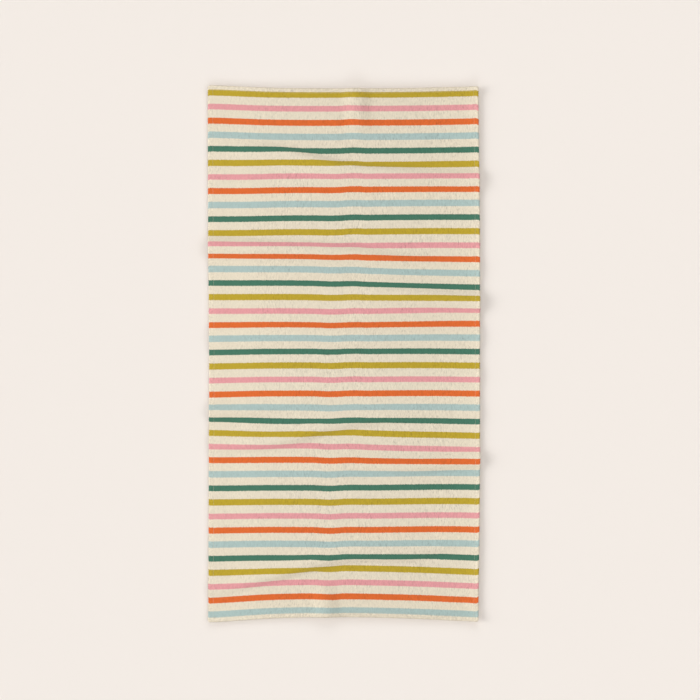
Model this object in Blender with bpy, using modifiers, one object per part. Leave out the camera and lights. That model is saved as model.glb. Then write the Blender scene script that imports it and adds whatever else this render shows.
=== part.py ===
# A bath towel of cotton terry, opened out and laid flat with its face up. The creases of having
# been folded still stand up in it as soft ridges.
# Metres, +Z up. Seen from above with its head end away, the towel's right side is +X and its
# head end is +Y. The flat stretches of its underside lie on z = 0, the surface that it rests on.

import math

import bmesh
import bpy

# The towel as it lies. Sewn and pressed flat it is 0.70 x 1.40 m, and its creases take up the rest.
# The hems are turned under, so they hold the cloth beside them off the surface. It keeps level with
# them on top, is down to its own thickness over HEM_STEP, and comes to rest over HEM_SAG.
LAID_WIDTH = 0.695
LAID_LENGTH = 1.371
CLOTH_THICKNESS = 0.0030
HEM_THICKNESS = 0.0050
HEM_WIDTH = 0.014
HEM_STEP = 0.004
HEM_SAG = 0.030

# The outline, as how far it draws in from the full width and length. The ends are given at five
# even places from the left side to the right, the sides at five from the foot end to the head.
DRAWN_IN = {
    "foot": (0.0000, 0.0102, 0.0133, 0.0095, 0.0020),
    "head": (0.0000, 0.0064, 0.0082, 0.0069, 0.0030),
    "left": (0.0010, 0.0022, 0.0032, 0.0006, 0.0000),
    "right": (0.0040, 0.0002, 0.0000, 0.0002, 0.0040),
}

# How high the edges curl up off the surface, at the same places, and how wide each curl is.
CURLS = {
    "foot": dict(height=(0.0060, 0.0100, 0.0140, 0.0130, 0.0110), width=0.036),
    "head": dict(height=(0.0060, 0.0100, 0.0140, 0.0130, 0.0110), width=0.036),
    "left": dict(height=(0.0040, 0.0040, 0.0040, 0.0040, 0.0040), width=0.160),
    "right": dict(height=(0.0110, 0.0090, 0.0080, 0.0090, 0.0110), width=0.036),
}

# The creases across the towel, from the foot end to the head. crest is where the ridge's top runs
# along the towel and height is how far it lifts the cloth, each at five even places from the left
# side to the right. foot_slope and head_slope are the widths of its two sides.
CREASES = (
    dict(name="foot fold", foot_slope=0.026, head_slope=0.044,
         crest=(-0.605, -0.562, -0.517, -0.512, -0.472), height=(0.004, 0.011, 0.013, 0.009, 0.001)),
    dict(name="right pucker", foot_slope=0.030, head_slope=0.036,
         crest=(-0.312, -0.292, -0.280, -0.285, -0.271), height=(0.000, 0.000, 0.006, 0.012, 0.015)),
    dict(name="lower fold", foot_slope=0.029, head_slope=0.043,
         crest=(-0.234, -0.221, -0.175, -0.151, -0.155), height=(0.006, 0.012, 0.012, 0.006, 0.003)),
    dict(name="left pucker", foot_slope=0.032, head_slope=0.034,
         crest=(-0.148, -0.132, -0.087, -0.065, -0.057), height=(0.013, 0.004, 0.000, 0.002, 0.004)),
    dict(name="middle swell", foot_slope=0.046, head_slope=0.044,
         crest=(0.042, 0.050, 0.044, 0.046, 0.042), height=(0.007, 0.009, 0.011, 0.009, 0.005)),
    dict(name="middle fold, right half", foot_slope=0.042, head_slope=0.032,
         crest=(0.178, 0.170, 0.159, 0.148, 0.134), height=(0.000, 0.002, 0.006, 0.013, 0.017)),
    dict(name="middle fold, left half", foot_slope=0.043, head_slope=0.032,
         crest=(0.274, 0.267, 0.258, 0.232, 0.222), height=(0.018, 0.016, 0.014, 0.008, 0.004)),
    dict(name="head fold", foot_slope=0.052, head_slope=0.026,
         crest=(0.525, 0.516, 0.474, 0.457, 0.450), height=(0.000, 0.010, 0.012, 0.013, 0.012)),
)

# The lengthwise fold, which shows as one short ridge at each end. end_crest and inner_crest are
# where the ridge's top lies across the towel, at the towel's end and at the ridge's own inner end.
END_RIDGES = (
    dict(name="foot ridge", end=-1, length=0.125, end_crest=-0.0450, inner_crest=-0.0530,
         end_slope=0.047, inner_slope=0.036, height=0.012),
    dict(name="head ridge", end=1, length=0.160, end_crest=0.0290, inner_crest=0.0430,
         end_slope=0.042, inner_slope=0.042, height=0.012),
)

END_RIDGE_FULL = 0.25  # the share of its length over which it keeps its full height

# The grid: how long its cells may be along the flat stretches, how wide its columns may be there
# and across the two end ridges, how many rows each slope of a crease has, and the insets of the
# lines that it has along each edge.
FLAT_CELL = 0.060
PLAIN_COLUMN = 0.036
RIDGE_COLUMN = 0.0145
SLOPE_ROWS = 3
HEM_LINES = [0.0, HEM_WIDTH, HEM_WIDTH + HEM_STEP,
             HEM_WIDTH + HEM_STEP + HEM_SAG / 2, HEM_WIDTH + HEM_STEP + HEM_SAG]
ROUNDING = 1e-6

CREAM = (0.783, 0.694, 0.546, 1.0)
TERRY_ROUGHNESS = 0.95


def curve_at(values, place):
    """The smooth curve through evenly spaced values, read at a place from 0 to 1."""
    spans = len(values) - 1
    first = min(int(place * spans), spans - 1)
    step = place * spans - first
    before = values[max(first - 1, 0)]
    start = values[first]
    end = values[first + 1]
    after = values[min(first + 2, spans)]
    cubic = 3 * (start - end) + after - before
    square = 2 * before - 5 * start + 4 * end - after
    return start + 0.5 * step * (end - before + step * (square + step * cubic))


def ridge_profile(distance, slope_width):
    """A ridge's height at a distance from its crest, from 1 on the crest to 0 at its foot."""
    if distance >= slope_width:
        return 0.0
    return 0.5 + 0.5 * math.cos(math.pi * distance / slope_width)


def crease_height(crease, across, y):
    offset = y - curve_at(crease["crest"], across)
    slope_width = crease["head_slope"] if offset > 0 else crease["foot_slope"]
    height = max(curve_at(crease["height"], across), 0.0)
    return height * ridge_profile(abs(offset), slope_width)


def end_ridge_height(ridge, x, y):
    """The ridge keeps its full height near the towel's end, and then dies away over its length."""
    inward = min(max((LAID_LENGTH / 2 - ridge["end"] * y) / ridge["length"], 0.0), 1.0)
    crest = ridge["end_crest"] + (ridge["inner_crest"] - ridge["end_crest"]) * inward
    slope_width = ridge["end_slope"] + (ridge["inner_slope"] - ridge["end_slope"]) * inward
    fade = ridge_profile(max(inward - END_RIDGE_FULL, 0.0), 1.0 - END_RIDGE_FULL)
    return ridge["height"] * fade * ridge_profile(abs(x - crest), slope_width)


def curl_height(across, y):
    along = min(max(y / LAID_LENGTH + 0.5, 0.0), 1.0)
    edges = (
        ("foot", across, y - end_y(-1, across)),
        ("head", across, end_y(1, across) - y),
        ("left", along, across * LAID_WIDTH),
        ("right", along, (1.0 - across) * LAID_WIDTH),
    )
    lift = 0.0
    for name, place, inset in edges:
        share = max(1.0 - inset / CURLS[name]["width"], 0.0)
        lift += curve_at(CURLS[name]["height"], place) * share ** 2
    return lift


def lift_at(across, x, y):
    """How far the folds and curls hold the cloth off the surface."""
    creases = sum(crease_height(crease, across, y) for crease in CREASES)
    ridges = sum(end_ridge_height(ridge, x, y) for ridge in END_RIDGES)
    return creases + ridges + curl_height(across, y)


def face_height(inset):
    """How far the face stands above cloth of no thickness, at an inset from the nearest edge."""
    sag = ridge_profile(max(inset - HEM_WIDTH - HEM_STEP, 0.0), HEM_SAG)
    return CLOTH_THICKNESS + (HEM_THICKNESS - CLOTH_THICKNESS) * sag


def spread(start, stop, longest):
    """Even steps from start to stop, without start, none longer than longest."""
    count = max(math.ceil((stop - start) / longest - ROUNDING), 1)
    return [start + (stop - start) * (i + 1) / count for i in range(count)]


def column_places():
    """Where the grid's columns lie, from 0 at the left side to 1 at the right."""
    ridge_sides = [r[f"{part}_crest"] + sign * r[f"{part}_slope"]
                   for r in END_RIDGES for part in ("end", "inner") for sign in (-1, 1)]
    ridges_start = LAID_WIDTH / 2 + min(ridge_sides)
    ridges_stop = LAID_WIDTH / 2 + max(ridge_sides)
    hem = [0.0, HEM_WIDTH / 2] + HEM_LINES[1:]
    right_hem = [LAID_WIDTH - place for place in reversed(hem)]
    places = list(hem)
    places += spread(hem[-1], ridges_start, PLAIN_COLUMN)
    places += spread(ridges_start, ridges_stop, RIDGE_COLUMN)
    places += spread(ridges_stop, right_hem[0], PLAIN_COLUMN)
    places += right_hem[1:]
    return [place / LAID_WIDTH for place in places]


def end_y(end, across, inset=0.0):
    """How far along the towel one of its ends lies, or a line at an inset from that end."""
    name = "head" if end > 0 else "foot"
    return end * (LAID_LENGTH / 2 - curve_at(DRAWN_IN[name], across) - inset)


def end_line(end, inset):
    return lambda across: end_y(end, across, inset)


def crease_line(crease, step):
    """A line along a crease: step -1 is the foot of its one slope, 0 its crest, 1 the other foot."""
    slope_width = crease["head_slope"] if step > 0 else crease["foot_slope"]
    return lambda across: curve_at(crease["crest"], across) + step * slope_width


def row_lines(columns):
    """The grid's rows from the foot end to the head. Each follows the crease or the end it is by."""
    lines = [end_line(-1, inset) for inset in HEM_LINES]
    for crease in CREASES:
        lines += [crease_line(crease, i / SLOPE_ROWS) for i in range(-SLOPE_ROWS, SLOPE_ROWS + 1)]
    lines += [end_line(1, inset) for inset in reversed(HEM_LINES)]
    keys = [[line(across) for across in columns] for line in lines]
    rows = [keys[0]]
    for below, above in zip(keys, keys[1:]):
        longest = max(high - low for low, high in zip(below, above))
        for part in spread(0.0, 1.0, FLAT_CELL / longest):
            rows.append([low + (high - low) * part for low, high in zip(below, above)])
    return rows


def side_x(across, y):
    """The place across the towel in metres, between its two drawn-in sides."""
    along = min(max(y / LAID_LENGTH + 0.5, 0.0), 1.0)
    left = -LAID_WIDTH / 2 + curve_at(DRAWN_IN["left"], along)
    right = LAID_WIDTH / 2 - curve_at(DRAWN_IN["right"], along)
    return left + (right - left) * across


def make_material(name, colour, roughness):
    material = bpy.data.materials.new(name)
    material.use_nodes = True
    shader = material.node_tree.nodes["Principled BSDF"]
    shader.inputs["Base Color"].default_value = colour
    shader.inputs["Roughness"].default_value = roughness
    shader.inputs["Metallic"].default_value = 0.0
    return material


def make_face(columns, rows):
    """The cloth's face: a grid whose vertices are moved to the rows, columns and folds. The vertices
    of the four hems, where the cloth is thickest, are weighted for vertex group 0."""
    sheet = bmesh.new()
    weights = sheet.verts.layers.deform.verify()
    last_column = len(columns) - 1
    last_row = len(rows) - 1
    hem_share = (HEM_WIDTH + HEM_STEP / 2) / LAID_WIDTH
    hem_rows = 2
    bmesh.ops.create_grid(sheet, x_segments=last_column, y_segments=last_row, size=0.5)
    heights = []
    for vertex in sheet.verts:
        column = round((vertex.co.x + 0.5) * last_column)
        row = round((vertex.co.y + 0.5) * last_row)
        across = columns[column]
        y = rows[row][column]
        x = side_x(across, y)
        vertex.co = (x, y, lift_at(across, x, y))
        in_side_hem = min(across, 1.0 - across) < hem_share
        in_end_hem = min(row, last_row - row) < hem_rows
        vertex[weights][0] = 1.0 if in_side_hem or in_end_hem else 0.0
        side_inset = min(across, 1.0 - across) * LAID_WIDTH
        end_inset = min(y - rows[0][column], rows[-1][column] - y)
        heights.append(face_height(min(side_inset, end_inset)))
    sheet.normal_update()
    for vertex, height in zip(sheet.verts, heights):
        vertex.co += vertex.normal * height * vertex.calc_shell_factor()
    mesh = bpy.data.meshes.new("towel")
    sheet.to_mesh(mesh)
    sheet.free()
    return mesh


def make_towel(collection):
    columns = column_places()
    towel = bpy.data.objects.new("towel", make_face(columns, row_lines(columns)))
    collection.objects.link(towel)
    towel.data.materials.append(make_material("cream terry", CREAM, TERRY_ROUGHNESS))
    towel.data.shade_smooth()
    towel.vertex_groups.new(name="hems")
    body = towel.modifiers.new("cloth thickness", "SOLIDIFY")
    body.thickness = HEM_THICKNESS
    body.offset = -1.0
    body.use_even_offset = True
    body.vertex_group = "hems"
    body.thickness_vertex_group = CLOTH_THICKNESS / HEM_THICKNESS
    return towel


def main():
    for old in list(bpy.data.objects):
        bpy.data.objects.remove(old, do_unlink=True)
    collection = bpy.data.collections.new("bath towel")
    bpy.context.scene.collection.children.link(collection)
    make_towel(collection)


main()
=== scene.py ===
# A striped bath towel of cotton terry, opened out and laid flat with its face up.
# Metres, +Z up. It lies on z = 0 with its head end at +Y, and the creases of having been folded
# still stand up in it as soft ridges.
import math
import random

import bpy
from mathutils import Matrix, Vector, noise
from mathutils.bvhtree import BVHTree


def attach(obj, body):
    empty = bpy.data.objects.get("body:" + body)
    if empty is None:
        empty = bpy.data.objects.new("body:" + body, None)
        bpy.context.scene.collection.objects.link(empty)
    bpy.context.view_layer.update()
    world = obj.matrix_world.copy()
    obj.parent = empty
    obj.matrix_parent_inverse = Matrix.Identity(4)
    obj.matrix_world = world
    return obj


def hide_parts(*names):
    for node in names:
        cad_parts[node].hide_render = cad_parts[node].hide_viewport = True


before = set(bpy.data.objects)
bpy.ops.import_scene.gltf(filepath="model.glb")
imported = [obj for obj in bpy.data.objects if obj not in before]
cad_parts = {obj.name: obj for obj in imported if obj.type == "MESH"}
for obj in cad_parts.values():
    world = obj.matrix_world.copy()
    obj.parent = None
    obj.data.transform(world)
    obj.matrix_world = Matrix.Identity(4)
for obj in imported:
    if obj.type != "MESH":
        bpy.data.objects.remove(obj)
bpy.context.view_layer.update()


# camera and studio: straight above, in soft light that comes a little more from the left

overhead = dict(
    middle=(0.0153, 0.0096),  # the point that it looks straight down on
    height=6.0,
    pictureWidth=1.7885,      # what it takes in from side to side, at the cloth's face
    clothFace=0.003,
)


def addCamera():
    place = (*overhead["middle"], overhead["height"])
    bpy.ops.object.camera_add(location=place, rotation=(0, 0, 0))
    camera = bpy.context.object
    camera.name = "overheadCamera"
    fromCloth = overhead["height"] - overhead["clothFace"]
    camera.data.lens = camera.data.sensor_width * fromCloth / overhead["pictureWidth"]
    bpy.context.scene.camera = camera


studio = dict(
    floorSize=60.0,
    floorGap=0.0003,                # just under the cloth
    floorColour=(0.905, 0.840, 0.783, 1),
    roomShare=0.25,                 # how much of the light comes from the pale room all round
    fillPlace=(-1.50, 0.0, 1.15),   # a smaller lamp by the cloth's left side, which lights the cloth alone
    fillSize=1.2,
    fillPower=8.0,
)

# Wide lamps give the rest. turn is where a lamp stands, from the left round by the head end, and
# height how far it is above the horizon. These and its spread are in degrees. share is how much of
# the light on a level surface comes from it.
wideLamps = (
    dict(name="leftLamp", share=0.16, turn=0, height=36, spread=50, lights="all"),
    dict(name="leftFloorLamp", share=0.15, turn=0, height=38, spread=30, lights="floor"),
    dict(name="headFloorLamp", share=0.14, turn=90, height=38, spread=34, lights="floor"),
    dict(name="rightFloorLamp", share=0.16, turn=180, height=48, spread=40, lights="floor"),
    dict(name="footFloorLamp", share=0.14, turn=270, height=38, spread=34, lights="floor"),
    dict(name="clothLamp", share=0.59, turn=0, height=90, spread=179, lights="cloth"),
)


def newMaterial(name):  # the material and its shader
    material = bpy.data.materials.new(name)
    material.use_nodes = True
    return material, material.node_tree.nodes["Principled BSDF"]


def addWideLamp(settings, lit):
    height, turn = math.radians(settings["height"]), math.radians(settings["turn"])
    bpy.ops.object.light_add(type="SUN", rotation=(0, math.pi / 2 - height, math.pi - turn))
    lamp = bpy.context.object
    lamp.name = settings["name"]
    lamp.data.angle = math.radians(settings["spread"])
    lamp.data.energy = math.pi * settings["share"] / math.sin(height)
    if settings["lights"] in lit:
        lamp.light_linking.receiver_collection = lit[settings["lights"]]


def addFillLamp(lit):
    place = Vector(studio["fillPlace"])
    turned = place.to_track_quat("Z", "Y").to_euler()
    bpy.ops.object.light_add(type="AREA", location=place, rotation=turned)
    lamp = bpy.context.object
    lamp.name = "fillLamp"
    lamp.data.size = studio["fillSize"]
    lamp.data.energy = studio["fillPower"]
    lamp.light_linking.receiver_collection = lit["cloth"]


def addFloor():
    bpy.ops.mesh.primitive_plane_add(size=studio["floorSize"], location=(0, 0, -studio["floorGap"]))
    floor = bpy.context.object
    floor.name = "paleFloor"
    matte, shader = newMaterial("paleFloor")
    shader.inputs["Base Color"].default_value = studio["floorColour"]
    shader.inputs["Roughness"].default_value = 1.0
    shader.inputs["Specular IOR Level"].default_value = 0.0
    floor.data.materials.append(matte)
    return floor


def addStudio():  # gives the collection of what is lit as cloth
    scene = bpy.context.scene
    scene.view_settings.view_transform = "Standard"
    room = bpy.data.worlds.new("softRoom")
    room.use_nodes = True
    level = studio["roomShare"]
    room.node_tree.nodes["Background"].inputs["Color"].default_value = (level, level, level, 1)
    scene.world = room
    lit = {name: bpy.data.collections.new(name + "Lit") for name in ("floor", "cloth")}
    for settings in wideLamps:
        addWideLamp(settings, lit)
    addFillLamp(lit)
    lit["floor"].objects.link(addFloor())
    return lit["cloth"]


addCamera()
clothLit = addStudio()
print("studio: camera, lamps and floor")


# shader maths as plain expressions on wires

class Wire:
    def __init__(self, tree, socket=None):
        self.tree = tree
        self.socket = socket

    def node(self, kind, settings=None, inputs=None, output=0):  # any node, and one of its outputs
        made = self.tree.nodes.new(kind)
        for name, value in (settings or {}).items():
            if name == "stops":
                fillRamp(made.color_ramp, value)
            else:
                setattr(made, name, value)
        for name, value in (inputs or {}).items():
            if isinstance(value, Wire):
                self.tree.links.new(value.socket, made.inputs[name])
            else:
                made.inputs[name].default_value = value
        return Wire(self.tree, made.outputs[output])

    def other(self, output):  # another output of the same node
        return Wire(self.tree, self.socket.node.outputs[output])

    def feed(self, shader, name):
        self.tree.links.new(self.socket, shader.inputs[name])

    def maths(self, operation, *values):
        return self.node("ShaderNodeMath", {"operation": operation}, dict(enumerate(values)))

    def rising(self, low, high):  # 0 up to low, 1 from high on, and smooth between
        return self.node("ShaderNodeMapRange", {"interpolation_type": "SMOOTHSTEP"},
                         {"Value": self, "From Min": low, "From Max": high})

    def mixed(self, factor, first, second, blend="MIX"):  # colours, each a wire or a value
        return self.node("ShaderNodeMix", {"data_type": "RGBA", "blend_type": blend},
                         {0: factor, 6: first, 7: second}, 2)

    def __add__(self, value):
        return self.maths("ADD", self, value)

    def __sub__(self, value):
        return self.maths("SUBTRACT", self, value)

    def __mul__(self, value):
        return self.maths("MULTIPLY", self, value)

    def __truediv__(self, value):
        return self.maths("DIVIDE", self, value)

    def __rsub__(self, value):
        return self.maths("SUBTRACT", value, self)

    __radd__ = __add__
    __rmul__ = __mul__


def fillRamp(ramp, stops):  # stops are (place, colour), held flat up to the next
    ramp.interpolation = "CONSTANT"
    while len(ramp.elements) < len(stops):
        ramp.elements.new(1.0)
    for element, (place, colour) in zip(ramp.elements, stops):
        element.position = place
        element.color = colour


# terry: cream loop pile, with the stripes printed on its face

terry = dict(
    clothSize=(0.700, 1.400),       # as it was cut and sewn
    cream=(0.769, 0.684, 0.535, 1),
    backCream=(0.785, 0.715, 0.600, 1),
    stripes=(                       # from the head end, and then over again: colour and width
        ((0.485, 0.346, 0.0275, 1), 0.0160),    # olive
        ((0.754, 0.328, 0.340, 1), 0.0144),     # pink
        ((0.716, 0.142, 0.0297, 1), 0.0155),    # orange
        ((0.405, 0.521, 0.494, 1), 0.0164),     # pale blue
        ((0.0585, 0.177, 0.115, 1), 0.0148),    # green
    ),
    firstStripe=0.0179,             # the middle of the first stripe, from the head end of the flat cloth
    stripePitch=0.03587,
    stripeBleed=0.0007,             # over how much of the pile a stripe's edge fades
    stripeStagger=0.6,              # how far whole loops take the print of their root, from 0 to 1
    loop=(0.0016, 0.0021, 0.0016),  # one loop of pile: across, along and through the cloth
    loopScatter=0.8,                # how unevenly the loops stand, from 0 to 1
    loopHeight=0.00045,
    gapFrom=(0.15, 0.80),           # from how far off its middle a loop begins to fall, and where it ends
    paintedGapShade=0.10,                 # painted shade: how much darker the colour is painted down between the loops
    fibre=(0.0004, 0.0007, 0.0004),     # the yarn's own fuzz
    fibreHeight=0.00012,
    fibreShade=0.10,
    clump=(0.0032, 0.0096, 0.0050),     # loops lean together in small tufts, longer along the cloth
    clumpHeight=0.00045,
    clumpShade=0.37,
    parting=(0.0030, 0.0100, 0.0050),   # here and there the pile parts and shows its darker ground
    partingFrom=(0.60, 0.68),       # from which value of its noise it begins to part and is fully parted
    partingShade=0.14,
    rubbed=(0.11, 0.16, 0.10),      # the patches where the pile is more disturbed
    rubbedFrom=(0.40, 0.60),
    stir=(0.75, 1.25),              # how strongly it is marked where it is least and most disturbed
    calmSide=(0.010, 0.240),        # it lies calmer by the left side, and is itself again this far in
    calm=0.46,
    sideReach=(0.050, 0.170),       # painted light: by both sides the colour is painted lighter, fading out between these distances in from them
    paintedSideLight=0.032,
    hemReach=(0.010, 0.017),        # over which the hem's own gathered pile gives way to the smooth face
    hemNub=(0.0045, 0.0045, 0.0050),
    hemShade=0.42,
    noiseRoughness=0.55,
    relief=0.8,                     # how much of those heights shows
    roughness=(0.86, 0.96),
    specular=0.15,
    sheen=0.20,
    sheenRoughness=0.5,
)


def stripePrint(start, dyed):  # how far inside a stripe each place is, and the colour of that stripe
    stripes = terry["stripes"]
    kinds = len(stripes)
    count = (dyed - terry["firstStripe"]) / terry["stripePitch"]
    nearest = start.maths("ROUND", count)
    offset = start.maths("ABSOLUTE", count - nearest) * terry["stripePitch"]
    kind = start.maths("FLOORED_MODULO", nearest, kinds) / kinds + 0.5 / kinds
    widest = max(width for colour, width in stripes)
    colours = [(i / kinds, colour) for i, (colour, width) in enumerate(stripes)]
    shares = [(i / kinds, (width / widest,) * 3 + (1,)) for i, (colour, width) in enumerate(stripes)]
    colour = start.node("ShaderNodeValToRGB", {"stops": colours}, {0: kind})
    halfWidth = start.node("ShaderNodeValToRGB", {"stops": shares}, {0: kind}) * (widest / 2)
    bleed = terry["stripeBleed"]
    return (halfWidth - offset).rising(-bleed, bleed), colour


def terryFinish():
    material, shader = newMaterial("stripedTerry")
    start = Wire(material.node_tree)
    flat = start.node("ShaderNodeUVMap", {"uv_map": "cloth"})
    across = start.node("ShaderNodeSeparateXYZ", inputs={0: flat})
    along = across.other(1)
    itself = start.node("ShaderNodeTexCoord", output="Object")
    up = start.node("ShaderNodeSeparateXYZ", inputs={0: itself}, output=2)

    def cells(size):
        places = {0: across / size[0], 1: along / size[1], 2: up / size[2]}
        return start.node("ShaderNodeCombineXYZ", inputs=places)

    def unevenness(name, detail):
        inputs = {"Vector": cells(terry[name]), "Scale": 1.0, "Detail": detail,
                  "Roughness": terry["noiseRoughness"]}
        return start.node("ShaderNodeTexNoise", {"noise_dimensions": "3D"}, inputs)

    # the pile: its loops and the gaps between them, its fuzz, tufts and partings
    inputs = {"Vector": cells(terry["loop"]), "Scale": 1.0, "Randomness": terry["loopScatter"]}
    loops = start.node("ShaderNodeTexVoronoi", {"voronoi_dimensions": "3D"}, inputs, "Distance")
    gaps = loops.rising(*terry["gapFrom"])
    root = start.node("ShaderNodeSeparateXYZ", inputs={0: loops.other("Position")}, output=1)
    fibres = unevenness("fibre", 2.0)
    clumps = unevenness("clump", 2.0)
    rubbed = unevenness("rubbed", 1.0).rising(*terry["rubbedFrom"])
    parted = unevenness("parting", 1.0).rising(*terry["partingFrom"])
    nubs = unevenness("hemNub", 1.0)

    # how strongly they mark it, which changes towards the sides and the hems, and the light painted by the
    # sides
    clothWidth, clothLength = terry["clothSize"]
    toSide = start.maths("MINIMUM", across, clothWidth - across)
    toEnd = start.maths("MINIMUM", along, clothLength - along)
    calm = (1 - across.rising(*terry["calmSide"])) * terry["calm"]
    low, high = terry["stir"]
    stir = (rubbed * (high - low) + low) * (1 - calm)
    # painted light: the colour is made lighter towards both sides
    paintedLightBySides = (1 - toSide.rising(*terry["sideReach"])) * terry["paintedSideLight"]
    hem = 1 - start.maths("MINIMUM", toSide, toEnd).rising(*terry["hemReach"])

    # the print, which goes over the edge and isn't on the back
    dyed = along + (root * terry["loop"][1] - along) * terry["stripeStagger"]
    stripe, colour = stripePrint(start, dyed)
    printed = start.node("ShaderNodeAttribute", {"attribute_name": "printed"}, output="Fac")
    ground = start.mixed(printed, terry["backCream"], terry["cream"])
    pile = start.mixed(stripe * printed, ground, colour)
    # painted shade down in the gaps between the loops
    shade = (1 + (fibres - 0.5) * terry["fibreShade"]) * (1 - gaps * terry["paintedGapShade"])
    shade = shade * (1 + (clumps - 0.5) * stir * terry["clumpShade"])
    shade = shade * (1 - parted * stir * terry["partingShade"]) * (1 + paintedLightBySides)
    shade = shade * (1 + (nubs - 0.5) * hem * terry["hemShade"])
    start.mixed(1.0, pile, shade, "MULTIPLY").feed(shader, "Base Color")

    low, high = terry["roughness"]
    (clumps * (high - low) + low).feed(shader, "Roughness")
    height = (1 - gaps) * terry["loopHeight"] + clumps * terry["clumpHeight"]
    height = height + fibres * terry["fibreHeight"]
    inputs = {"Strength": terry["relief"], "Distance": 1.0, "Height": height}
    start.node("ShaderNodeBump", inputs=inputs).feed(shader, "Normal")
    shader.inputs["Specular IOR Level"].default_value = terry["specular"]
    shader.inputs["Sheen Weight"].default_value = terry["sheen"]
    shader.inputs["Sheen Roughness"].default_value = terry["sheenRoughness"]
    return material


terryMaterial = terryFinish()
print("terry: material made")


# the cloth: one sheet on the folds of the towel's solid, turned in at its four hems

cloth = dict(
    flat=terry["clothSize"],
    laid=(0.695, 1.371),        # as it lies, drawn in by its creases
    thick=0.0030,
    hemThick=0.0050,
    hemWidth=0.014,
    hemStep=0.004,              # over which the cloth settles from the hem's thickness to its own
    ledge=0.050,                # how far in from the hem the cloth hangs before it touches down
    cornerThick=0.0006,         # more where two hems lie over each other
    cornerAllowance=1.4,        # no place is thicker than this many times the hem
    cornerRound=0.006,
    seam=0.0126,                # the stitching, from the edge
    seamGroove=0.00025,
    seamHalfWidth=0.0022,
    pucker=0.0004,              # the seam draws the hem into small puckers
    puckerLength=(0.011, 0.05),     # along the seam and across it
    puckerLayer=9.1,            # which layer of the noise it reads: each unevenness has one of its own
    edgeRound=0.0020,
    edgeSegments=3,
    swell=0.0014,               # the slow unevenness of cloth that isn't pressed down
    swellLength=(0.15, 0.19),
    swellLayer=3.7,
    uneven=0.00022,             # the face's own unevenness
    unevenLength=(0.011, 0.0154),
    unevenLayer=5.3,
    gather=1.35,                # how much more length its folds take up than their smooth shape does
    printEdge=(-0.6, -0.2),     # how far up a place faces where the print begins, and where it is whole
    faceFrom=0.4,               # and how far up it faces where it has the face's small ups and downs
    # how far in from the edges the mesh has its lines by the hems
    hemLines=(0, 0.0032, 0.0060, 0.0085, 0.0104, 0.0115, 0.0126, 0.0137, 0.0148, 0.0164, 0.0185),
    columnStep=0.0056,          # and how far apart they are at most elsewhere
    rowStep=0.009,
    slopeRows=9,                # the rows on each side of a crease
)

# How far each side draws in from the full width or length, at five even places along it.
drawnIn = dict(
    foot=(0.0000, 0.0102, 0.0133, 0.0095, 0.0020),
    head=(0.0000, 0.0064, 0.0082, 0.0069, 0.0030),
    left=(0.0010, 0.0022, 0.0032, 0.0006, 0.0000),
    right=(0.0040, 0.0002, 0.0000, 0.0002, 0.0040),
)

# How far the edges curl up off the surface, at the same places, and how far in they come down again.
curls = dict(
    foot=dict(height=(0.0060, 0.0100, 0.0140, 0.0130, 0.0110), width=0.036),
    head=dict(height=(0.0060, 0.0100, 0.0140, 0.0130, 0.0110), width=0.036),
    left=dict(height=(0.0040, 0.0040, 0.0040, 0.0040, 0.0040), width=0.160),
    right=dict(height=(0.0110, 0.0090, 0.0080, 0.0090, 0.0110), width=0.036),
)

# The creases across the towel, from the foot end to the head. crest is where the top of the ridge
# runs and height how far it lifts the cloth, each at five even places from the left to the right.
# footSlope and headSlope are the widths of its two sides.
creases = (
    # foot fold
    dict(crest=(-0.605, -0.562, -0.517, -0.512, -0.472), height=(0.004, 0.011, 0.013, 0.009, 0.001),
         footSlope=0.026, headSlope=0.044),
    # right pucker
    dict(crest=(-0.312, -0.292, -0.280, -0.285, -0.271), height=(0.000, 0.000, 0.006, 0.012, 0.015),
         footSlope=0.030, headSlope=0.036),
    # lower fold
    dict(crest=(-0.234, -0.221, -0.175, -0.151, -0.155), height=(0.006, 0.012, 0.012, 0.006, 0.003),
         footSlope=0.029, headSlope=0.043),
    # left pucker
    dict(crest=(-0.148, -0.132, -0.087, -0.065, -0.057), height=(0.013, 0.004, 0.000, 0.002, 0.004),
         footSlope=0.032, headSlope=0.034),
    # middle swell
    dict(crest=(0.042, 0.050, 0.044, 0.046, 0.042), height=(0.007, 0.009, 0.011, 0.009, 0.005),
         footSlope=0.046, headSlope=0.044),
    # middle fold, its right half
    dict(crest=(0.178, 0.170, 0.159, 0.148, 0.134), height=(0.000, 0.002, 0.006, 0.013, 0.017),
         footSlope=0.042, headSlope=0.032),
    # middle fold, its left half
    dict(crest=(0.274, 0.267, 0.258, 0.232, 0.222), height=(0.018, 0.016, 0.014, 0.008, 0.004),
         footSlope=0.043, headSlope=0.032),
    # head fold
    dict(crest=(0.525, 0.516, 0.474, 0.457, 0.450), height=(0.000, 0.010, 0.012, 0.013, 0.012),
         footSlope=0.052, headSlope=0.026),
)

# The lengthwise fold shows as one short ridge at each end, -1 the foot and 1 the head. crest and
# slope are given at the end and at the ridge's inner tip, and full is the share of its length over
# which it keeps its height.
endRidges = (
    dict(end=-1, length=0.125, endCrest=-0.0450, innerCrest=-0.0530,
         endSlope=0.047, innerSlope=0.036, height=0.012, full=0.25),
    dict(end=1, length=0.160, endCrest=0.0290, innerCrest=0.0430,
         endSlope=0.042, innerSlope=0.042, height=0.012, full=0.25),
)

laidWidth, laidLength = cloth["laid"]
thickest = cloth["hemThick"] * cloth["cornerAllowance"]
roundingRoom = 1e-6  # so that a rounding error doesn't count as a step


def curveAt(values, place):  # the smooth curve through evenly spaced values, at a place from 0 to 1
    spans = len(values) - 1
    first = min(int(place * spans), spans - 1)
    step = place * spans - first
    before = values[max(first - 1, 0)]
    start = values[first]
    end = values[first + 1]
    after = values[min(first + 2, spans)]
    cubic = 3 * (start - end) + after - before
    square = 2 * before - 5 * start + 4 * end - after
    return start + 0.5 * step * (end - before + step * (square + step * cubic))


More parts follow.
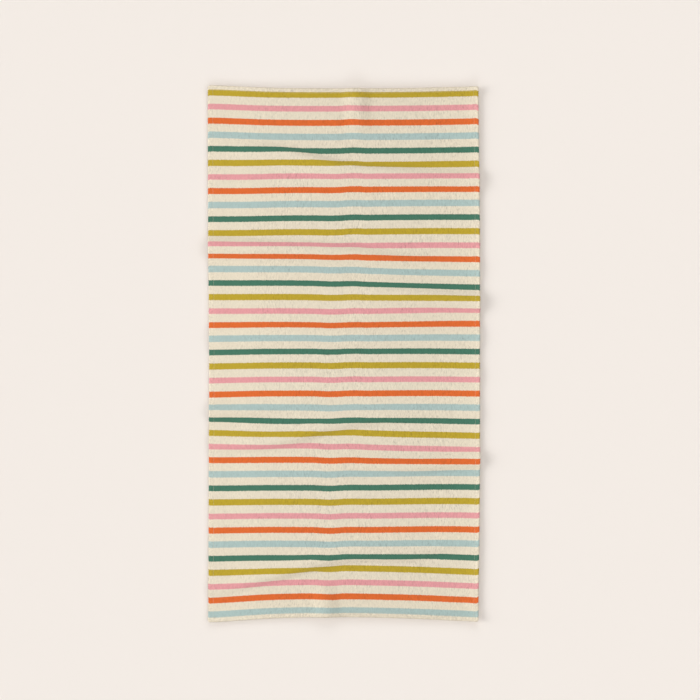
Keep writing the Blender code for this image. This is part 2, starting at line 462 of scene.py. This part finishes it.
def hump(distance, reach):  # 1 at no distance, easing down to 0 at reach
    return 0.5 + 0.5 * math.cos(math.pi * min(abs(distance) / reach, 1))


def slowNoise(x, y, lengths, layer):
    return noise.noise(Vector((x / lengths[0], y / lengths[1], layer)))


def evenSteps(start, stop, longest):  # without start itself
    count = max(math.ceil((stop - start) / longest - roundingRoom), 1)
    return [start + (stop - start) * (i + 1) / count for i in range(count)]


# where the cloth lies

def sideX(across, y):
    along = min(max(y / laidLength + 0.5, 0), 1)
    left = -laidWidth / 2 + curveAt(drawnIn["left"], along)
    right = laidWidth / 2 - curveAt(drawnIn["right"], along)
    return left + (right - left) * across


def endY(end, across, inset=0):
    return end * (laidLength / 2 - curveAt(drawnIn["head" if end > 0 else "foot"], across) - inset)


def insets(x, y):  # how far a point lies across the towel, from 0 to 1, and how far in from its edges
    left, right = sideX(0, y), sideX(1, y)
    across = min(max((x - left) / (right - left), 0), 1)
    foot, head = y - endY(-1, across), endY(1, across) - y
    return across, x - left, right - x, foot, head


def rounded(side, end):  # the two insets of a point near a corner, once the corner is rounded
    reach = cloth["cornerRound"]
    if max(side, end) >= reach:
        return side, end
    a = 1 - side / reach
    b = 1 - end / reach
    return reach * (1 - a * math.sqrt(1 - b * b / 2)), reach * (1 - b * math.sqrt(1 - a * a / 2))


def creaseLift(crease, across, y):
    offset = y - curveAt(crease["crest"], across)
    slope = crease["headSlope"] if offset > 0 else crease["footSlope"]
    return max(curveAt(crease["height"], across), 0) * hump(offset, slope)


def endRidgeLift(ridge, x, y):
    inward = min(max((laidLength / 2 - ridge["end"] * y) / ridge["length"], 0), 1)
    crest = ridge["endCrest"] + (ridge["innerCrest"] - ridge["endCrest"]) * inward
    slope = ridge["endSlope"] + (ridge["innerSlope"] - ridge["endSlope"]) * inward
    fading = hump(max(inward - ridge["full"], 0), 1 - ridge["full"])
    return ridge["height"] * fading * hump(x - crest, slope)


def curlLift(across, y, fromLeft, fromRight, foot, head):
    along = min(max(y / laidLength + 0.5, 0), 1)
    lift = 0
    for edge, place, inset in (("left", along, fromLeft), ("right", along, fromRight),
                               ("foot", across, foot), ("head", across, head)):
        share = max(1 - max(inset, 0) / curls[edge]["width"], 0)
        lift += curveAt(curls[edge]["height"], place) * share ** 2
    return lift


def undersideLift(x, y):  # how far the cloth is held off the surface by its folds and curls
    across, *edges = insets(x, y)
    folds = sum(creaseLift(crease, across, y) for crease in creases)
    folds += sum(endRidgeLift(ridge, x, y) for ridge in endRidges)
    swell = cloth["swell"] * max(slowNoise(x, y, cloth["swellLength"], cloth["swellLayer"]), 0)
    return folds + swell + curlLift(across, y, *edges)


def thicknesses(side, end):  # of the cloth itself, and of it with the hem that holds it up nearby
    past = min(side, end) - cloth["hemWidth"]
    extra = cloth["hemThick"] - cloth["thick"]
    extra += cloth["cornerThick"] * hump(max(max(side, end) - cloth["hemWidth"], 0), cloth["hemStep"])
    itself = cloth["thick"] + extra * hump(max(past, 0), cloth["hemStep"])
    held = cloth["thick"] + extra * hump(max(past - cloth["hemStep"], 0), cloth["ledge"])
    return itself, held


def relief(x, y):  # the small ups and downs of the face
    across, fromLeft, fromRight, foot, head = insets(x, y)
    side, end = min(fromLeft, fromRight), min(foot, head)
    inset = min(side, end)
    run = y if side < end else x
    seam = cloth["seam"]
    pull = slowNoise(run, inset, cloth["puckerLength"], cloth["puckerLayer"])
    pull *= hump(inset - seam / 2, seam)
    groove = hump(inset - seam, cloth["seamHalfWidth"])
    uneven = slowNoise(x, y, cloth["unevenLength"], cloth["unevenLayer"])
    return cloth["pucker"] * pull + cloth["uneven"] * uneven - cloth["seamGroove"] * groove


# the cloth's mesh

def columnPlaces():  # from 0 at the left side to 1 at the right
    hem = cloth["hemLines"]
    places = list(hem) + evenSteps(hem[-1], laidWidth - hem[-1], cloth["columnStep"])
    places += [laidWidth - place for place in reversed(hem[:-1])]
    return [place / laidWidth for place in places]


def creaseY(crease, across, step):  # step runs from -1 at the foot of one slope to 1 at that of the other
    slope = crease["headSlope"] if step > 0 else crease["footSlope"]
    return curveAt(crease["crest"], across) + step * slope


def rowPlaces(columns):  # for each row its y at each column, each row along the crease or end that it is by
    hem = cloth["hemLines"]
    steps = [i / cloth["slopeRows"] for i in range(-cloth["slopeRows"], cloth["slopeRows"] + 1)]
    keys = [[endY(-1, across, inset) for across in columns] for inset in hem]
    keys += [[creaseY(crease, across, step) for across in columns] for crease in creases for step in steps]
    keys += [[endY(1, across, inset) for across in columns] for inset in reversed(hem)]
    rows = [keys[0]]
    for below, above in zip(keys, keys[1:]):
        longest = max(b - a for a, b in zip(below, above))
        for part in evenSteps(0, 1, cloth["rowStep"] / longest):
            rows.append([a + (b - a) * part for a, b in zip(below, above)])
    return rows


def activate(piece):
    bpy.ops.object.select_all(action="DESELECT")
    piece.select_set(True)
    bpy.context.view_layer.objects.active = piece


def applyAll(piece):
    activate(piece)
    for modifier in list(piece.modifiers):
        bpy.ops.object.modifier_apply(modifier=modifier.name)


def layGrid(lastColumn, lastRow):  # a flat grid, and the column and row of each of its points
    bpy.ops.object.select_all(action="DESELECT")
    bpy.ops.mesh.primitive_grid_add(x_subdivisions=lastColumn, y_subdivisions=lastRow, size=1)
    piece = bpy.context.object
    piece.name = "bathTowel"
    places = [vertex.co for vertex in piece.data.vertices]
    spots = [(round((at.x + 0.5) * lastColumn), round((at.y + 0.5) * lastRow)) for at in places]
    return piece, spots


def foldGrid(piece, spots, columns, rows):  # onto the underside's folds, and how high its face is there
    mesh = piece.data
    group = piece.vertex_groups.new(name="thickness")
    heights = []
    for vertex, (column, row) in zip(mesh.vertices, spots):
        across = columns[column]
        side = min(across, 1 - across) * laidWidth
        y = rows[row][column]
        end = min(y - rows[0][column], rows[-1][column] - y)
        newSide, newEnd = rounded(side, end)
        across += (newSide - side) / laidWidth * (1 if across < 0.5 else -1)
        y += (newEnd - end) * (1 if y < 0 else -1)
        x = sideX(across, y)
        vertex.co = (x, y, undersideLift(x, y))
        itself, held = thicknesses(side, end)
        heights.append(held)
        group.add([vertex.index], itself / thickest, "REPLACE")
    mesh.update()
    return heights


def flatPlaces(at, columns, lastRow):  # where each point is on the cloth while it is flat
    flatWidth, flatLength = cloth["flat"]
    places = {}
    for column, across in enumerate(columns):
        run = [0]  # how far each row is from the head end, along the folds
        for row in range(lastRow, 0, -1):
            step = at[column, row] - at[column, row - 1]
            run.append(run[-1] + math.hypot(step.y, step.z * cloth["gather"]))
        for row in range(lastRow + 1):
            places[column, row] = (across * flatWidth, run[lastRow - row] / run[-1] * flatLength)
    return places


def outerSpots(lastColumn, lastRow):  # all round the grid, and back to the first
    around = [(column, 0) for column in range(lastColumn)]
    around += [(lastColumn, row) for row in range(lastRow)]
    around += [(column, lastRow) for column in range(lastColumn, 0, -1)]
    around += [(0, row) for row in range(lastRow, -1, -1)]
    return around


def giveThickness(piece):  # and count the faces of its two sides, which come before those of its rim
    sheetFaces = 2 * len(piece.data.polygons)
    activate(piece)
    bpy.ops.object.shade_smooth()
    body = piece.modifiers.new("thickness", "SOLIDIFY")
    body.thickness = thickest
    body.offset = -1
    body.use_even_offset = True
    body.vertex_group = "thickness"
    body.thickness_vertex_group = 0
    applyAll(piece)
    return sheetFaces


def roundEdge(piece, sheetFaces):
    mesh = piece.data
    turned, sheets = set(), set()
    for face in mesh.polygons:
        (sheets if face.index < sheetFaces else turned).update(face.edge_keys)
    border = turned & sheets
    weights = mesh.attributes.new("bevel_weight_edge", "FLOAT", "EDGE")
    for line, weight in zip(mesh.edges, weights.data):
        weight.value = 1 if line.key in border else 0
    edge = piece.modifiers.new("edge", "BEVEL")
    edge.width = cloth["edgeRound"]
    edge.segments = cloth["edgeSegments"]
    edge.limit_method = "WEIGHT"
    edge.use_clamp_overlap = False
    applyAll(piece)


def finishFace(piece):  # its small ups and downs, and where it is printed
    mesh = piece.data
    low, high = cloth["printEdge"]
    printed = mesh.attributes.new("printed", "FLOAT", "POINT")
    facing = [vertex.normal.copy() for vertex in mesh.vertices]
    for vertex, normal, mark in zip(mesh.vertices, facing, printed.data):
        mark.value = min(max((normal.z - low) / (high - low), 0), 1)
        if normal.z > cloth["faceFrom"]:
            vertex.co += normal * relief(vertex.co.x, vertex.co.y)
        vertex.co.z = max(vertex.co.z, 0)
    mesh.materials.append(terryMaterial)


def makeCloth():  # and its rim: middle point, normal and flat place, all round the edge
    columns = columnPlaces()
    rows = rowPlaces(columns)
    lastColumn, lastRow = len(columns) - 1, len(rows) - 1
    piece, spots = layGrid(lastColumn, lastRow)
    heights = foldGrid(piece, spots, columns, rows)
    mesh = piece.data
    facing = [vertex.normal.copy() for vertex in mesh.vertices]
    middles, normals, at = {}, {}, {}
    for spot, vertex, normal, height in zip(spots, mesh.vertices, facing, heights):
        middles[spot] = vertex.co + normal * cloth["hemThick"] / 2
        normals[spot] = normal
        vertex.co += normal * height
        at[spot] = vertex.co.copy()
    flat = flatPlaces(at, columns, lastRow)
    clothMap = mesh.uv_layers[0]
    clothMap.name = "cloth"
    for corner, place in zip(mesh.loops, clothMap.data):
        place.uv = flat[spots[corner.vertex_index]]
    around = outerSpots(lastColumn, lastRow)
    rim = [(middles[spot], normals[spot], Vector(flat[spot])) for spot in around]
    roundEdge(piece, giveThickness(piece))
    finishFace(piece)
    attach(piece, "root")
    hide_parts("towel")
    return piece, rim


bathTowel, clothRim = makeCloth()
clothLit.objects.link(bathTowel)
print("cloth:", len(bathTowel.data.polygons), "faces")


# long thin yarns, each swept along a path

def yarnSides(yarn):  # the sides of its cross-section
    return 4 + 2 * yarn["roundness"]


def makeYarn(name, paths, yarn):
    bpy.ops.object.select_all(action="DESELECT")
    bpy.ops.curve.primitive_bezier_curve_add()
    piece = bpy.context.object
    piece.name = name
    curve = piece.data
    curve.splines.clear()
    curve.dimensions = "3D"
    for path in paths:
        spline = curve.splines.new("POLY")
        spline.points.add(len(path) - 1)
        for point, place in zip(spline.points, path):
            point.co = (*place, 1)
    curve.bevel_depth = yarn["radius"]
    curve.bevel_resolution = yarn["roundness"]
    bpy.ops.object.convert(target="MESH")
    bpy.ops.object.mode_set(mode="EDIT")
    bpy.ops.mesh.select_all(action="SELECT")
    bpy.ops.mesh.fill_holes(sides=0)  # its two ends
    bpy.ops.object.mode_set(mode="OBJECT")
    bpy.ops.object.shade_smooth()
    piece = bpy.context.object
    layInRows(piece.data, yarn)
    return piece


def layInRows(mesh, yarn):  # a map of the whole yarn, folded back and forth in rows
    sides, rows, filled = yarnSides(yarn), yarn["mapRows"], yarn["mapFilled"]
    swept = mesh.uv_layers[0]
    folded = mesh.uv_layers.new(name="OFBake")
    perRow = math.ceil(len(mesh.polygons) / sides / rows)
    for face in mesh.polygons:
        row, column = divmod(face.index // sides, perRow)
        places = [swept.data[corner].uv.copy() for corner in face.loop_indices]
        start = min(place.x for place in places)
        for corner, place in zip(face.loop_indices, places):
            step = 1 if place.x > start + roundingRoom else 0
            folded.data[corner].uv = ((column + step) / perRow, (row + filled * place.y) / rows)


# the stitching that holds the hems: one thread on the face and one on the back along each edge

stitching = dict(
    length=0.0034,          # one stitch
    points=5,               # of the thread's path, along one stitch
    radius=0.00019,
    roundness=1,
    proud=0.00006,          # how far a stitch's middle stands out of the cloth
    dip=0.00045,            # and how deep the thread goes where it passes through
    fullness=1.5,           # the higher, the more of a stitch lies at its full height
    endInset=0.0034,        # where each row of stitches begins and ends
    mapRows=72,
    mapFilled=0.85,         # the share of a row's height that the yarn fills
    colour=(0.70, 0.62, 0.49, 1),
    darker=0.22,            # painted shade: how much darker the thread is painted between its twisted plies
    ply=0.00062,
    plyUneven=0.6,
    plyHeight=0.00005,
    roughness=(0.62, 0.80),
)


def threadFinish():
    material, shader = newMaterial("cottonThread")
    start = Wire(material.node_tree)
    oneWave = 0.31  # about how long a wave of the texture is at scale 1
    inputs = {"Vector": start.node("ShaderNodeTexCoord", output="Object"),
              "Scale": oneWave / stitching["ply"], "Distortion": stitching["plyUneven"]}
    twist = start.node("ShaderNodeTexWave", {"bands_direction": "DIAGONAL"}, inputs, "Fac")
    # painted shade in the grooves between the plies
    shade = 1 - (1 - twist) * stitching["darker"]
    start.mixed(1.0, stitching["colour"], shade, "MULTIPLY").feed(shader, "Base Color")
    low, high = stitching["roughness"]
    (high - twist * (high - low)).feed(shader, "Roughness")
    inputs = {"Distance": 1.0, "Height": twist * stitching["plyHeight"]}
    start.node("ShaderNodeBump", inputs=inputs).feed(shader, "Normal")
    return material


def seamLines():  # the x and y of every point of the thread, along each of the four seams
    inset, start = cloth["seam"], stitching["endInset"]
    step = stitching["length"] / stitching["points"]
    lines = []
    for side in (0, 1):
        low, high = endY(-1, side, start), endY(1, side, start)
        places = [low] + evenSteps(low, high, step)
        lines.append([(sideX(side, y) + inset * (1 - 2 * side), y) for y in places])
    for end in (-1, 1):
        places = [start] + evenSteps(start, laidWidth - start, step)
        rows = [(place / laidWidth, endY(end, place / laidWidth, inset)) for place in places]
        lines.append([(sideX(across, y), y) for across, y in rows])
    return lines


def makeStitching():
    tree = BVHTree.FromObject(bathTowel, bpy.context.evaluated_depsgraph_get())
    points = stitching["points"]
    waves = [min(stitching["fullness"] * math.sin(math.pi * i / points), 1) for i in range(points)]
    offsets = [wave * (stitching["proud"] + stitching["dip"]) - stitching["dip"] for wave in waves]
    paths = []
    for line in seamLines():
        for side in (1, -1):  # from above onto the face, and from below onto the back
            path = []
            for i, (x, y) in enumerate(line):
                place, normal, face, distance = tree.ray_cast(Vector((x, y, side)), Vector((0, 0, -side)))
                path.append(place + normal * offsets[i % points])
            paths.append(path)
    piece = makeYarn("hemStitching", paths, stitching)
    piece.data.materials.append(threadFinish())
    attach(piece, "root")
    return piece


hemStitching = makeStitching()
clothLit.objects.link(hemStitching)
print("stitching:", len(hemStitching.data.polygons), "faces")


# the loops of pile that stand out all round the towel's turned edges

rimLoops = dict(
    pitch=0.0018,           # from one loop to the next
    points=8,               # of the yarn's path, along one loop
    radius=0.00046,
    roundness=0,
    inner=0.0016,           # how far inside the edge each loop comes back to
    reach=(0.0000, 0.0006),     # how far the loops stand out of the edge
    tuft=0.0006,            # more where they lean together in tufts
    tuftLength=0.0065,
    tuftLayer=4.4,
    half=(0.0009, 0.0019),  # half a loop's height
    drift=0.0009,           # how far it stands higher or lower than the middle of the edge
    sway=0.0011,            # and how far it leans along it
    seed=5,
    mapRows=96,
    mapFilled=0.85,
)


def loopPath(rim):  # the points of the looping yarn, and the flat place of the cloth that each is by
    runs = [0]
    for (a, *_), (b, *_) in zip(rim, rim[1:]):
        runs.append(runs[-1] + (b - a).length)
    chance = random.Random(rimLoops["seed"])
    points = rimLoops["points"]
    loops = round(runs[-1] / rimLoops["pitch"])
    tuftLengths = (rimLoops["tuftLength"], 1)
    path, roots = [], []
    part = 0
    for i in range(loops):
        reach = chance.uniform(*rimLoops["reach"])
        reach += rimLoops["tuft"] * slowNoise(i * rimLoops["pitch"], 0, tuftLengths, rimLoops["tuftLayer"])
        half = chance.uniform(*rimLoops["half"])
        sway = chance.uniform(-1, 1) * rimLoops["sway"]
        drift = chance.uniform(-1, 1) * rimLoops["drift"]
        for j in range(points):
            run = (i + j / points) / loops * runs[-1]
            while runs[part + 1] < run:
                part += 1
            share = (run - runs[part]) / (runs[part + 1] - runs[part])
            middle, normal, root = (a.lerp(b, share) for a, b in zip(rim[part], rim[part + 1]))
            ahead = (rim[part + 1][0] - rim[part][0]).normalized()
            outward = ahead.cross(normal).normalized()
            turn = 2 * math.pi * j / points
            standing = 0.5 - 0.5 * math.cos(turn)
            offset = outward * (standing * (rimLoops["inner"] + reach) - rimLoops["inner"])
            offset += normal * (half * math.sin(turn) + drift) + ahead * sway * standing
            path.append(middle + offset)
            roots.append(root)
    return path, roots


def makeRimLoops():
    path, roots = loopPath(clothRim)
    piece = makeYarn("rimLoops", [path], rimLoops)
    mesh = piece.data
    sides = yarnSides(rimLoops)
    clothMap = mesh.uv_layers.new(name="cloth")
    for corner, place in zip(mesh.loops, clothMap.data):
        place.uv = roots[corner.vertex_index // sides]
    printed = mesh.attributes.new("printed", "FLOAT", "POINT")
    for mark in printed.data:
        mark.value = 1
    mesh.materials.append(terryMaterial)
    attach(piece, "root")
    return piece


rimPile = makeRimLoops()
clothLit.objects.link(rimPile)
print("rim loops:", len(rimPile.data.polygons), "faces")
